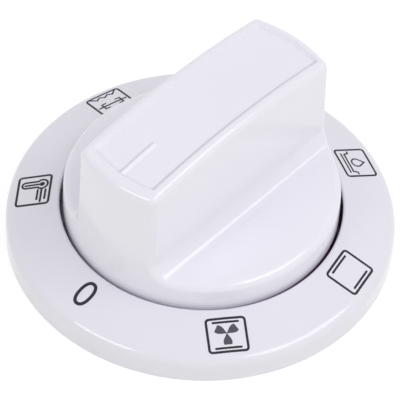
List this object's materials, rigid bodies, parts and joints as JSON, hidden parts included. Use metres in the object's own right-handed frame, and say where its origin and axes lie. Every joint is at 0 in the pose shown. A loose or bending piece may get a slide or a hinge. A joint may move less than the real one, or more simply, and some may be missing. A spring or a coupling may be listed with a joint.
{
  "type": "oven control knob",
  "caption": "White bar grip oven knob that turns inside a fixed round dial ring printed with cooking symbols, pushed on a D-shaft.",
  "frame": {"origin": "centre of the dial ring's back, in the plane that lies on the panel", "axes": "+Z along the shaft axis out of the panel towards the user, -Y along the pointer towards the off symbol, +X to the right seen from the front with the pointer down"},
  "size_m": [0.064, 0.064, 0.0305],
  "materials": {
    "ring_plastic": "moulded white ABS, polished",
    "knob_plastic": "moulded white ABS, polished",
    "spring_steel": "rolled spring steel strip",
    "print_ink": "dark grey pad-printed ink, the dial's symbols"
  },
  "bodies": {
    "dial": {"dial_ring": "ring_plastic"},
    "knob": {"knob_body": "knob_plastic", "shaft_clip": "spring_steel"}
  },
  "joints": [
    {"name": "knob_turn", "type": "hinge", "parent": "dial", "child": "knob", "pos_m": [0, 0, 0], "axis": [0, 0, 1], "continuous": true}
  ]
}
